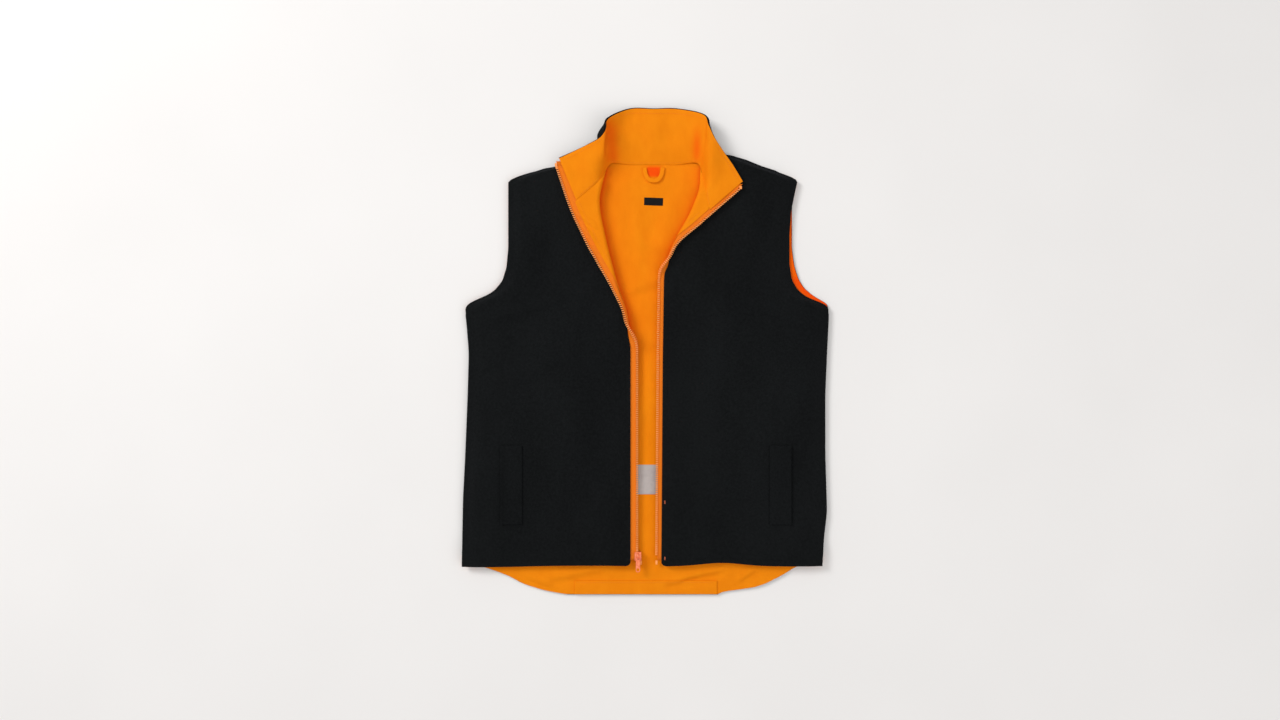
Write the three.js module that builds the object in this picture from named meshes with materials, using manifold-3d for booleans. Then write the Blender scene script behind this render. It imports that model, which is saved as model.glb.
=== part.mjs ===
// Reversible blaze orange work vest, laid flat and open on a table: black fleece outside, woven blaze
// orange inside, with a stand collar and an open-end zip. Millimetres, +Z up, +Y towards the collar.
// "left" is the -X side and "right" the +X side, as seen from above. A distance q is measured from
// the middle of the vest towards that side's seam. The origin is under the middle, on the table.
import * as THREE from 'three';
import Module from 'manifold-3d';
import { mergeVertices } from 'three/addons/utils/BufferGeometryUtils.js';

const wasm = await Module();
wasm.setup();

// ---- driving dimensions -------------------------------------------------------------------------
const halfChest = 310; // middle of the vest to a side seam, under the arm
const halfHem = 302; // the same at the front hem
const frontHemY = -360;
const underarmY = 82; // lowest point of the armholes
const tailDrop = 50; // the back's drop tail, below the front hem
const neckSeamY = 319; // back neck seam
const collarHeight = 92; // stand collar at the middle of the back
const fleeceThickness = 2.5;
const liningThickness = 0.8;
const fabricGap = 0.35; // air between neighbouring layers
const bodySpace = 8.4; // room between the back and the fronts
const rollRadius = 5; // bend of the turned-out front edges, at the zip tape
const zipPitch = 3.6; // from one tooth to the next
const toothLength = 4;
const toothThickness = 5;
const tapeThickness = 0.6;
const tapeHidden = 5; // tape sewn in between the layers
const reflectiveWidth = 50;
const reflectiveTopY = -189.5;
const reflectiveThickness = 0.4;
const pocketOpening = 125;
const pocketTopY = -160;
const slitWidth = 6;
const slitInset = 56; // side seam to the pocket slit
const weltWidth = 36;
const bagWidth = 100;
const bagDrop = 42; // pocket bag below the lower end of the slit
const loopWidth = 8;
const loopSpan = 38;
const loopDrop = 29;
const labelWidth = 32;
const labelHeight = 13;
const labelY = 250;
const casingWidth = 246; // elastic casing in the drop tail
const casingHeight = 24;
const seamAllowance = 9;
const sliderLength = 14;
const sliderWidth = 11;
const sliderPlate = 1.6;
const sliderClearance = 0.5;
const railRadius = 4.5; // arch that the puller's eye travels on
const railWire = 1.8;
const pullerLength = 22;
const pullerWidth = 7;
const pullerThickness = 1.6;

// ---- each side's own lines: [y, value] pairs, from the hem up ------------------------------------
const sides = {
  left: {
    sign: -1,
    reveal: 13, // fabric edge to the tips of the teeth
    roll: [[-360, 31], [30, 31], [70, 37], [115, 54], [175, 69.6], [231, 82], [260, 85], [291, 78],
      [325, 70]],
    width: [[-360, 18], [30, 18], [70, 18.5], [115, 24], [175, 43], [231, 58], [260, 66], [291, 83],
      [321, 100]],
    flatTo: 0, // the front edge lies flat below this and is fully turned out above the next
    turnedFrom: 78,
    tipY: 321, // upper front corner of the collar
    shoulder: [[234, 292], [153, 314], [92, 326]],
    armhole: [[262, 95], [243, 122], [233, 175], [232, 240]],
    seam: [[117, 256.5, 0], [95, 275, 0], [82, 288, -1], [75, 298, -7], [69, 309, -13], [57, 321.5, -17]],
    top: [[141, 328, 0], [121, 340, 0], [97, 350, 5], [76, 359, 16], [64, 374, 22], [61, 394, 8]],
    hinge: [[26, -65], [145, -360]],
  },
  right: {
    sign: 1,
    reveal: 10.5,
    roll: [[-360, 33.5], [0, 36], [132, 38], [160, 41], [190, 54], [234, 80], [277, 97], [325, 99]],
    width: [[-360, 18], [132, 18], [165, 17], [180, 17], [190, 22], [206, 34], [234, 49], [277, 82],
      [300, 100]],
    flatTo: 126,
    turnedFrom: 186,
    tipY: 281,
    shoulder: [[257, 293], [197, 314], [129, 335]],
    armhole: [[276, 95], [254, 118], [244, 175], [248, 240]],
    seam: [[107, 240, 0], [103, 256, 0], [102, 270, -1], [101, 284, -7], [97, 300, -13], [87, 321.5, -17]],
    top: [[159, 290, 0], [146, 316, 0], [131, 336, 4], [114, 360, 12], [105, 380, 12], [95, 399, 0]],
    hinge: [[29, 60], [165, -360]],
  },
};

// ---- heights of the layers ----------------------------------------------------------------------
const above = (layer, thickness, gap = fabricGap) => [layer[1] + gap, layer[1] + gap + thickness];
const backFleeceZ = [0, fleeceThickness];
const backLiningZ = above(backFleeceZ, liningThickness);
const frontLiningZ = above(backLiningZ, liningThickness, bodySpace);
const tapeZ = above(frontLiningZ, tapeThickness);
const frontFleeceZ = above(tapeZ, fleeceThickness);
const planeZ = (tapeZ[0] + tapeZ[1]) / 2; // the fronts bend about the tape's own middle
const turnedZ = planeZ + 2 * rollRadius;
const hingeZ = frontFleeceZ[1];
const offsets = (layer) => layer.map((z) => z - planeZ);
const tailY = frontHemY - tailDrop;
const collarTopY = neckSeamY + collarHeight;

// ---- curves and solids --------------------------------------------------------------------------
function valueAt(pairs, y) {
  if (y <= pairs[0][0]) return pairs[0][1];
  for (let i = 1; i < pairs.length; i += 1) {
    const [y0, v0] = pairs[i - 1];
    const [y1, v1] = pairs[i];
    if (y <= y1) return v0 + ((v1 - v0) * (y - y0)) / (y1 - y0);
  }
  const [[y0, v0], [y1, v1]] = pairs.slice(-2);
  return v1 + ((v1 - v0) * (y - y1)) / (y1 - y0);
}

// A value that runs smoothly through the pairs, by averaging over a short stretch.
function smoothAt(pairs, y) {
  const reach = 12;
  const steps = [-1, -0.5, 0, 0.5, 1];
  return steps.reduce((sum, step) => sum + valueAt(pairs, y + step * reach), 0) / steps.length;
}

const turnAt = (side, y) => Math.PI * THREE.MathUtils.smoothstep(y, side.flatTo, side.turnedFrom);

// A point of a front, s past the roll line towards the zip and n above the tape's middle.
function frontPoint(side, s, y, n) {
  const rollQ = smoothAt(side.roll, y);
  const angle = Math.min(Math.max(s, 0) / rollRadius, turnAt(side, y));
  const rest = s - angle * rollRadius;
  const radius = rollRadius - n;
  const q = rollQ - radius * Math.sin(angle) - rest * Math.cos(angle);
  const z = planeZ + rollRadius - radius * Math.cos(angle) + rest * Math.sin(angle);
  return new THREE.Vector3(side.sign * q, y, z);
}

const edgeQ = (side, y) => frontPoint(side, smoothAt(side.width, y), y, 0).x * side.sign;
const edgeSlope = (side, y) => Math.hypot(1, (edgeQ(side, y + 4) - edgeQ(side, y - 4)) / 8);
// distance past the roll of a point that lies inset from the tips of the teeth
const pastRoll = (side, y, inset) => smoothAt(side.width, y) - inset * edgeSlope(side, y);

// A closed sheet over a grid of columns and rows; pointAt(column, row, face) gives face 0 or 1.
function gridSheet(columns, rows, pointAt) {
  const position = [];
  for (const face of [0, 1]) {
    for (const row of rows) {
      for (const column of columns) position.push(...pointAt(column, row, face).toArray());
    }
  }
  const m = columns.length;
  const half = m * rows.length;
  const index = [];
  const quad = (a, b, c, d) => index.push(a, b, c, a, c, d);
  for (let j = 0; j + 1 < rows.length; j += 1) {
    for (let i = 0; i + 1 < m; i += 1) {
      const a = j * m + i;
      quad(a, a + m, a + m + 1, a + 1);
      quad(half + a, half + a + 1, half + a + m + 1, half + a + m);
    }
  }
  const rim = [];
  for (let i = 0; i < m - 1; i += 1) rim.push(i);
  for (let j = 0; j < rows.length - 1; j += 1) rim.push(j * m + m - 1);
  for (let i = m - 1; i > 0; i -= 1) rim.push((rows.length - 1) * m + i);
  for (let j = rows.length - 1; j > 0; j -= 1) rim.push(j * m);
  rim.forEach((a, k) => {
    const b = rim[(k + 1) % rim.length];
    quad(a, b, half + b, half + a);
  });
  const geometry = new THREE.BufferGeometry();
  geometry.setAttribute('position', new THREE.Float32BufferAttribute(position, 3));
  geometry.setIndex(index);
  return facingOut(geometry);
}

function facingOut(geometry) {
  const p = geometry.getAttribute('position');
  const index = geometry.getIndex().array;
  const [a, b, c] = [new THREE.Vector3(), new THREE.Vector3(), new THREE.Vector3()];
  let volume = 0;
  for (let i = 0; i < index.length; i += 3) {
    a.fromBufferAttribute(p, index[i]);
    b.fromBufferAttribute(p, index[i + 1]);
    c.fromBufferAttribute(p, index[i + 2]);
    volume += a.dot(b.cross(c));
  }
  if (volume < 0) {
    for (let i = 0; i < index.length; i += 3) [index[i], index[i + 2]] = [index[i + 2], index[i]];
  }
  return geometry;
}

// A flat sheet from an outline of [q, y] corners; a corner list may hold smooth runs.
function plate(side, outline, layer, holes = []) {
  const placed = (corners) => {
    const points = corners.map(([q, y]) => new THREE.Vector2(side.sign * q, y));
    return THREE.ShapeUtils.isClockWise(points) ? points.reverse() : points;
  };
  const shape = new THREE.Shape(placed(outline));
  holes.forEach((hole) => shape.holes.push(new THREE.Path(placed(hole))));
  const geometry = new THREE.ExtrudeGeometry(shape, { depth: layer[1] - layer[0], bevelEnabled: false });
  return geometry.translate(0, 0, layer[0]);
}

const smooth = (points, count) => new THREE.SplineCurve(points.map(([q, y]) => new THREE.Vector2(q, y)))
  .getPoints(count).map((p) => [p.x, p.y]);
const box = (q0, q1, y0, y1) => [[q0, y0], [q1, y0], [q1, y1], [q0, y1]];

function solid(geometry) {
  const bare = geometry.clone();
  bare.deleteAttribute('normal');
  bare.deleteAttribute('uv');
  const merged = mergeVertices(bare, 1e-4);
  return new wasm.Manifold(new wasm.Mesh({
    numProp: 3,
    vertProperties: Float32Array.from(merged.getAttribute('position').array),
    triVerts: Uint32Array.from(merged.getIndex().array),
  }));
}

function geometryOf(manifold) {
  const mesh = manifold.getMesh();
  const geometry = new THREE.BufferGeometry();
  geometry.setAttribute('position', new THREE.Float32BufferAttribute(mesh.vertProperties, 3));
  geometry.setIndex([...mesh.triVerts]);
  return geometry;
}

const block = (x0, x1, y0, y1, z0, z1) => new THREE.BoxGeometry(x1 - x0, y1 - y0, z1 - z0)
  .translate((x0 + x1) / 2, (y0 + y1) / 2, (z0 + z1) / 2);

// ---- the model ----------------------------------------------------------------------------------
const vest = new THREE.Group();
const finish = {
  fleece: { color: 0x161618, roughness: 0.95, metalness: 0 },
  lining: { color: 0xf28818, roughness: 0.7, metalness: 0 },
  tape: { color: 0xf6843a, roughness: 0.65, metalness: 0 },
  moulded: { color: 0xfa8c5a, roughness: 0.45, metalness: 0 },
  reflective: { color: 0xbaaca8, roughness: 0.4, metalness: 0 },
  label: { color: 0x141416, roughness: 0.6, metalness: 0 },
  lacquer: { color: 0xff8a5c, roughness: 0.35, metalness: 0 },
};

function add(name, geometry, look) {
  const mesh = new THREE.Mesh(geometry, new THREE.MeshStandardMaterial(finish[look]));
  mesh.name = name;
  vest.add(mesh);
}

// ---- back ---------------------------------------------------------------------------------------
const middle = { sign: 1 };
const backArmRun = 9; // points in each smooth armhole
function armhole(side) {
  return smooth([[halfChest, underarmY], ...side.armhole, side.shoulder[0]], backArmRun);
}

function backOutline(side) {
  const tail = smooth([[casingWidth / 2, tailY], [casingWidth / 2 + 60, tailY + 14],
    [halfHem - 40, frontHemY - 6], [halfHem - 4, frontHemY + 8]], 6);
  return [...tail, ...armhole(side), ...side.shoulder.slice(1), [side.seam[5][0] + 8, neckSeamY]]
    .map(([q, y]) => [side.sign * q, y]);
}

function makeBack() {
  const outline = [...backOutline(sides.right), ...backOutline(sides.left).reverse()];
  add('back_fleece', plate(middle, outline, backFleeceZ), 'fleece');
  add('back_lining', plate(middle, outline, backLiningZ), 'lining');
  const bandZ = above(backLiningZ, reflectiveThickness);
  const bandHalf = halfHem - seamAllowance - 6;
  const bottomY = reflectiveTopY - reflectiveWidth;
  add('back_reflective_band', plate(middle, box(-bandHalf, bandHalf, bottomY, reflectiveTopY), bandZ),
    'reflective');
  const casingLayer = above(backLiningZ, liningThickness);
  const elasticLayer = casingLayer.map((z) => z + liningThickness + fabricGap);
  const half = casingWidth / 2 - 2;
  add('tail_hem_casing', plate(middle, box(-half, half, tailY + 2, tailY + casingHeight), casingLayer),
    'lining');
  add('tail_hem_elastic', plate(middle, box(-half + 6, half - 6, tailY + 5, tailY + casingHeight - 3),
    elasticLayer), 'tape');
  const labelX = 13;
  add('neck_label', plate(middle, box(labelX - labelWidth / 2, labelX + labelWidth / 2, labelY,
    labelY + labelHeight), above(backLiningZ, reflectiveThickness)), 'label');
}

// ---- fronts -------------------------------------------------------------------------------------
const neckEdge = 13; // a front's neck edge outside the collar's seam
const lapelTop = (side) => side.seam[2][1] - 2; // the roll ends here, at the collar
const hingeQ = (side, y) => {
  const [[q0, y0], [q1, y1]] = side.hinge;
  return q0 + ((q1 - q0) * (y - y0)) / (y1 - y0);
};
const hingeSlope = (side) => (side.hinge[1][0] - side.hinge[0][0])
  / (side.hinge[0][1] - side.hinge[1][1]);

function fixedFrontOutline(side) {
  const [, apexY] = side.hinge[0];
  const points = [[hingeQ(side, frontHemY) + fabricGap, frontHemY], [halfHem, frontHemY],
    ...armhole(side), ...side.shoulder.slice(1), [side.seam[4][0] + neckEdge, side.seam[4][1] + 8],
    [smoothAt(side.roll, lapelTop(side)) + neckEdge, lapelTop(side)]];
  for (let y = lapelTop(side) - 1; y > side.flatTo; y -= 9) {
    points.push([smoothAt(side.roll, y) + fabricGap, y]);
  }
  points.push([smoothAt(side.roll, side.flatTo) + fabricGap, side.flatTo - fabricGap]);
  points.push([edgeQ(side, side.flatTo) + side.reveal, side.flatTo - fabricGap]);
  points.push([hingeQ(side, apexY) + fabricGap, apexY]);
  return points;
}

function flapOutline(side) {
  const [apexQ, apexY] = side.hinge[0];
  const slope = hingeSlope(side);
  const edge = (y) => edgeQ(side, y) + side.reveal;
  const topY = apexY - 6;
  return [[apexQ + slope * 6 - fabricGap, topY], [edge(topY), topY],
    [edge(frontHemY + 8), frontHemY + 8], [edge(frontHemY) + 8, frontHemY],
    [hingeQ(side, frontHemY) - fabricGap, frontHemY]];
}

const arcSteps = 8;
function lapelRows(side, count) {
  return Array.from({ length: count + 1 }, (_, j) => j / count);
}

// A layer of the turned-out front edge, from the roll to the fabric edge, up to the collar seam.
function lapelSheet(side, layer) {
  const seamY = side.seam[0][1] - fabricGap - 2;
  const columns = [...Array.from({ length: arcSteps + 1 }, (_, i) => [i / arcSteps, 0]),
    [1, 1 / 3], [1, 2 / 3], [1, 1]];
  const [low, high] = offsets(layer);
  return gridSheet(columns, lapelRows(side, 22), ([bend, flat], v, face) => {
    const rollY = THREE.MathUtils.lerp(side.flatTo, lapelTop(side) - 4, v);
    const edgeY = THREE.MathUtils.lerp(side.flatTo, seamY, v);
    const y = THREE.MathUtils.lerp(rollY, edgeY, bend * 0.15 + flat * 0.85);
    const end = pastRoll(side, y, side.reveal);
    const arc = Math.min(Math.PI * rollRadius, end * 0.7);
    return frontPoint(side, arc * bend + (end - arc) * flat, y, face ? high : low);
  });
}

function makeFront(name, side) {
  const slitQ = halfHem - slitInset;
  const slit = box(slitQ, slitQ + slitWidth, pocketTopY - pocketOpening, pocketTopY);
  const fixed = fixedFrontOutline(side);
  add(`${name}_front_fleece`, plate(side, fixed, frontFleeceZ, [slit]), 'fleece');
  add(`${name}_front_lining`, plate(side, fixed, frontLiningZ), 'lining');
  add(`${name}_flap_fleece`, plate(side, flapOutline(side), frontFleeceZ), 'fleece');
  add(`${name}_flap_lining`, plate(side, flapOutline(side), frontLiningZ), 'lining');
  add(`${name}_lapel_fleece`, lapelSheet(side, frontFleeceZ), 'fleece');
  add(`${name}_lapel_lining`, lapelSheet(side, frontLiningZ), 'lining');

  const bottomY = reflectiveTopY - reflectiveWidth;
  const bandZ = [frontLiningZ[0] - fabricGap - reflectiveThickness, frontLiningZ[0] - fabricGap];
  const outerQ = halfHem - seamAllowance - 6;
  const atHinge = (y, gap) => [hingeQ(side, y) + gap, y];
  add(`${name}_front_reflective_band`, plate(side, [atHinge(bottomY, 2), [outerQ, bottomY],
    [outerQ, reflectiveTopY], atHinge(reflectiveTopY, 2)], bandZ), 'reflective');
  const edge = edgeQ(side, bottomY) + side.reveal + 3;
  add(`${name}_flap_reflective_band`, plate(side, [[edge, bottomY], atHinge(bottomY, -2),
    atHinge(reflectiveTopY, -2), [edge, reflectiveTopY]], bandZ), 'reflective');

  const bagQ = slitQ + slitWidth + 4 - bagWidth;
  const bagBottom = pocketTopY - pocketOpening - bagDrop;
  const bagTop = pocketTopY + 6;
  add(`${name}_pocket_bag`, plate(side, [[bagQ + 12, bagBottom], [slitQ + slitWidth + 4, bagBottom],
    [slitQ + slitWidth + 4, bagTop], [bagQ, bagTop], [bagQ, bagBottom + 12]], tapeZ), 'fleece');
  add(`${name}_pocket_welt`, plate(side, box(slitQ - 1.5 - weltWidth, slitQ - 1.5,
    pocketTopY - pocketOpening - 4, pocketTopY + 4), above(frontFleeceZ, 1)), 'fleece');

  const seamZ = [backLiningZ[1] + fabricGap, frontLiningZ[0] - fabricGap];
  add(`${name}_side_seam`, plate(side, [[halfHem - seamAllowance, frontHemY + 2],
    [halfHem - 2, frontHemY + 2], [halfChest - 2, underarmY - 3],
    [halfChest - seamAllowance, underarmY - 3]], seamZ), 'fleece');
  const [tip, , neck] = side.shoulder;
  add(`${name}_shoulder_seam`, plate(side, [[tip[0] - 3, tip[1] - 2 - seamAllowance],
    [tip[0] - 3, tip[1] - 3], [side.shoulder[1][0], side.shoulder[1][1] - 2], [neck[0], neck[1] - 2],
    [neck[0], neck[1] - 2 - seamAllowance],
    [side.shoulder[1][0], side.shoulder[1][1] - 2 - seamAllowance]], seamZ), 'fleece');
}

// ---- zip ----------------------------------------------------------------------------------------
const teethTop = (side) => side.hinge[0][1] - 8;

function zipTape(side, rows) {
  const outer = toothLength + fabricGap;
  const inner = side.reveal + tapeHidden;
  const columns = Array.from({ length: arcSteps + 1 }, (_, i) => i / arcSteps);
  const [low, high] = offsets(tapeZ);
  return gridSheet(columns, rows, (across, y, face) => frontPoint(side,
    pastRoll(side, y, THREE.MathUtils.lerp(outer, inner, across)), y, face ? high : low));
}

// Rows half a pitch apart along the tips of the teeth, from y0 to y1.
function toothRows(side, y0, y1) {
  const rows = [y0];
  let travelled = 0;
  for (let y = y0; y < y1; y += 0.2) {
    travelled += 0.2 * edgeSlope(side, y);
    if (travelled >= zipPitch / 2) {
      rows.push(y);
      travelled -= zipPitch / 2;
    }
  }
  return rows;
}

function zipTeeth(side, y0, y1) {
  const rows = toothRows(side, y0, y1).map((y, k) => [y, k % 2 ? 0 : 1.6]);
  return gridSheet([0, 1], rows, (inner, [y, cut], face) => frontPoint(side,
    pastRoll(side, y, inner ? toothLength : cut), y, (face - 0.5) * toothThickness));
}

const steps = (y0, y1, count) => Array.from({ length: count + 1 }, (_, k) => y0 + ((y1 - y0) * k) / count);
const boxLength = 7;
const zipBottomY = frontHemY + 3 + boxLength;
const sliderY = zipBottomY + fabricGap + sliderLength / 2; // middle of the slider at rest


// The tape on the flap; its hidden margin starts lower, clear of the fold line.
function lowerTapeOutline(side) {
  const topY = side.hinge[0][1] - 7;
  const marginY = topY - (tapeHidden + 3) / hingeSlope(side);
  const outer = (y) => [edgeQ(side, y) + toothLength + fabricGap, y];
  const inner = (y) => [edgeQ(side, y) + side.reveal + tapeHidden, y];
  return [outer(frontHemY + 3), inner(frontHemY + 3), inner(marginY),
    [edgeQ(side, topY) + side.reveal, topY], outer(topY)];
}

function makeZip(name, side) {
  const apexY = side.hinge[0][1];
  add(`${name}_zip_tape_upper`, zipTape(side, steps(apexY + 3, side.tipY - 2, 40)), 'tape');
  add(`${name}_zip_tape_lower`, plate(side, lowerTapeOutline(side), tapeZ), 'tape');
  add(`${name}_zip_teeth_upper`, zipTeeth(side, apexY + 3, side.tipY - 5), 'moulded');
  add(`${name}_zip_teeth_lower`, zipTeeth(side, zipBottomY + 1, teethTop(side)), 'moulded');
  add(`${name}_zip_top_stop`, gridSheet([0, 1], [side.tipY - 4, side.tipY - 1], (inner, y, face) =>
    frontPoint(side, pastRoll(side, y, inner ? toothLength : 0), y, (face - 0.5) * toothThickness)),
  'moulded');
}

function makeZipEnds() {
  const edgeAt = (side) => edgeQ(side, frontHemY + 6);
  const half = toothThickness / 2;
  const boxQ = edgeAt(sides.left);
  add('zip_retaining_box', plate(sides.left, box(boxQ - 6, boxQ + toothLength, frontHemY + 3,
    zipBottomY), [planeZ - half, planeZ + half]), 'moulded');
  const pinQ = edgeAt(sides.right);
  add('zip_insertion_pin', plate(sides.right, box(pinQ + 0.5, pinQ + toothLength, frontHemY + 3,
    zipBottomY), [planeZ - half + 0.8, planeZ + half - 0.8]), 'moulded');
}

function makeSlider() {
  const side = sides.left;
  const track = toothLength / 2;
  const centreQ = edgeQ(side, sliderY) + track;
  const x = -(centreQ - 1.5);
  const reach = toothThickness / 2 + sliderClearance;
  const [y0, y1] = [sliderY - sliderLength / 2, sliderY + sliderLength / 2];
  const half = sliderWidth / 2;
  const top = planeZ + reach;
  const plates = [[top, top + sliderPlate], [planeZ - reach - sliderPlate, planeZ - reach]]
    .map(([z0, z1]) => solid(block(x - half, x + half, y0, y1, z0, z1)));
  const wallX = -edgeQ(side, sliderY) + sliderClearance;
  const post = solid(block(wallX, wallX + 2, y0, y1, planeZ - reach - 0.5, top + 0.5));
  const outer = solid(block(x + half - 1.2, x + half, y0, y1, planeZ - reach - 0.5, top + 0.5));
  const body = plates[0].add(plates[1]).add(post).add(outer);
  add('zip_slider_body', geometryOf(body), 'lacquer');

  const railY = y1 - railRadius - railWire;
  const railZ = top + sliderPlate + pullerThickness / 2 + 0.8;
  const foot = top + sliderPlate + fabricGap;
  class Arch extends THREE.Curve {
    getPoint(t, target = new THREE.Vector3()) {
      const leg = 0.12;
      if (t < leg) return target.set(x, railY - railRadius, foot + ((railZ - foot) * t) / leg);
      if (t > 1 - leg) return target.set(x, railY + railRadius, foot + ((railZ - foot) * (1 - t)) / leg);
      const a = (Math.PI * (t - leg)) / (1 - 2 * leg);
      return target.set(x, railY - railRadius * Math.cos(a), railZ + railRadius * Math.sin(a));
    }
  }
  const section = new THREE.Shape();
  section.absarc(0, 0, railWire / 2, 0, 2 * Math.PI, false);
  add('zip_slider_rail', new THREE.ExtrudeGeometry(section, {
    steps: 14, curveSegments: 4, extrudePath: new Arch(),
  }), 'lacquer');

  const eyeY = railY - railRadius;
  const plan = new THREE.Shape();
  plan.moveTo(x - 2.6, eyeY + 2.2);
  plan.lineTo(x + 2.6, eyeY + 2.2);
  plan.lineTo(x + pullerWidth / 2, eyeY - 7);
  plan.lineTo(x + pullerWidth / 2, eyeY - pullerLength + 3);
  plan.absarc(x, eyeY - pullerLength + 3, pullerWidth / 2, 0, -Math.PI, true);
  plan.lineTo(x - pullerWidth / 2, eyeY - 7);
  const eye = new THREE.Path();
  eye.absarc(x, eyeY, railWire / 2 + 0.55, 0, 2 * Math.PI, false);
  const grip = new THREE.Path();
  grip.absellipse(x, eyeY - pullerLength + 3.5, 2.2, 2.8, 0, 2 * Math.PI, false);
  plan.holes.push(eye, grip);
  add('zip_puller', new THREE.ExtrudeGeometry(plan, {
    depth: pullerThickness, bevelEnabled: false, curveSegments: 12,
  }).translate(0, 0, railZ - pullerThickness / 2), 'lacquer');
}

// ---- collar -------------------------------------------------------------------------------------
function collarRails() {
  const place = (side, [q, y, dz]) => new THREE.Vector3(side.sign * q, y, turnedZ + dz);
  const backZ = tapeThickness / 2 + fabricGap + fleeceThickness + 0.45;
  const back = (y, z) => [-26, 13, 52].map((x) => new THREE.Vector3(x, y, z));
  const rail = (key, y, z) => [...sides.left[key].map((p) => place(sides.left, p)), ...back(y, z),
    ...sides.right[key].map((p) => place(sides.right, p)).reverse()];
  return [rail('seam', neckSeamY + fabricGap, backZ), rail('top', collarTopY, 13)];
}

function collarLayer([low, high], short = 0) {
  const [seam, top] = collarRails().map((points) => new THREE.CatmullRomCurve3(points, false,
    'centripetal'));
  const at = (u, v) => seam.getPoint(u).lerp(top.getPoint(u), v);
  const columns = steps(0.005, 0.995, 42);
  return gridSheet(columns.slice(short, columns.length - short), steps(0, 1, 4), (u, v, face) => {
    const du = at(u + 0.004, v).sub(at(u - 0.004, v));
    const dv = at(u, v + 0.05).sub(at(u, v - 0.05));
    const normal = du.cross(dv).normalize();
    return at(u, v).addScaledVector(normal, face ? high : low);
  });
}

function makeCollar() {
  const turned = (layer) => offsets(layer).map((n) => -n).reverse();
  add('collar_outer_fleece', collarLayer(turned(frontFleeceZ)), 'fleece');
  add('collar_interlining', collarLayer(turned(tapeZ), 2), 'tape');
  add('collar_inner_lining', collarLayer(turned(frontLiningZ)), 'lining');
}

// ---- hanger loop --------------------------------------------------------------------------------
function makeHangerLoop() {
  const centreX = 13;
  const half = loopSpan / 2;
  const topY = neckSeamY - 2;
  const bend = 9;
  const outline = new THREE.Shape();
  outline.moveTo(centreX - half, topY);
  outline.lineTo(centreX - half + 6, topY - loopDrop + bend);
  outline.quadraticCurveTo(centreX - half + 7, topY - loopDrop, centreX - 4, topY - loopDrop);
  outline.lineTo(centreX + 4, topY - loopDrop);
  outline.quadraticCurveTo(centreX + half - 7, topY - loopDrop, centreX + half - 6,
    topY - loopDrop + bend);
  outline.lineTo(centreX + half, topY);
  outline.lineTo(centreX + half - loopWidth, topY);
  outline.lineTo(centreX + half - loopWidth - 4, topY - loopDrop + bend);
  outline.lineTo(centreX - half + loopWidth + 4, topY - loopDrop + bend);
  outline.lineTo(centreX - half + loopWidth, topY);
  const layer = above(backLiningZ, 1.2);
  add('hanger_loop', new THREE.ExtrudeGeometry(outline, {
    depth: layer[1] - layer[0], bevelEnabled: false, curveSegments: 5,
  }).translate(0, 0, layer[0]), 'lining');
}

makeBack();
Object.entries(sides).forEach(([name, side]) => {
  makeFront(name, side);
  makeZip(name, side);
});
makeZipEnds();
makeSlider();
makeCollar();
makeHangerLoop();

export default vest;
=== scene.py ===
"""Looks for a reversible work vest laid flat and open: black fleece outside, blaze orange inside.

Every length is in metres. A distance q runs from the middle of the vest towards one side's seam,
y runs from the hem towards the collar, and s runs along a front's cloth past the line on which its
edge turns out. The cloth pieces are grids of points, worked out from a few lines for each side."""
import math

import bmesh
import bpy
import numpy as np
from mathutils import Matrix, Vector, noise


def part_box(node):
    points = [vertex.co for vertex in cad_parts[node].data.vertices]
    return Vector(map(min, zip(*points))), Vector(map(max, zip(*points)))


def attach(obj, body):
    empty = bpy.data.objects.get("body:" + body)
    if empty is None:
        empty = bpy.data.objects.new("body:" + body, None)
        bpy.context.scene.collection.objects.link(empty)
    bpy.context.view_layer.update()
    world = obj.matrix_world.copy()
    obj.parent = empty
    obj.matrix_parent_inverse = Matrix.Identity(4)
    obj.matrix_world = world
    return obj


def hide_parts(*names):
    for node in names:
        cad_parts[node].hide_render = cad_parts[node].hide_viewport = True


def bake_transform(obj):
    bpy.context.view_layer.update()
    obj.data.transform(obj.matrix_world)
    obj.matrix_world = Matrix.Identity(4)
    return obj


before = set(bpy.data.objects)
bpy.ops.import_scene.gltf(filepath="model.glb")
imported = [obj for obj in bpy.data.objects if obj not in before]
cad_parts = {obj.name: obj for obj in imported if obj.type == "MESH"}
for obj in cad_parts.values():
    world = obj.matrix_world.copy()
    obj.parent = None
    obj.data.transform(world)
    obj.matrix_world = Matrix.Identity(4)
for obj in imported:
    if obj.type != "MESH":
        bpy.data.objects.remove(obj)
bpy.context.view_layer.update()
MM = 0.001

# ---- camera ----
SENSOR = 36  # millimetres
CAMERA_HEIGHT = 1.80
VIEW_WIDTH = 2.176  # floor that the picture's width takes in
VIEW_CENTRE = (-0.010, -0.012)


def make_camera():
    data = bpy.data.cameras.new("camera")
    data.sensor_width = SENSOR
    data.lens = SENSOR * CAMERA_HEIGHT / VIEW_WIDTH
    camera = bpy.data.objects.new("camera", data)
    camera.location = (*VIEW_CENTRE, CAMERA_HEIGHT)
    bpy.context.scene.collection.objects.link(camera)
    bpy.context.scene.camera = camera


make_camera()
bpy.context.scene.view_settings.view_transform = "Standard"

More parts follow.
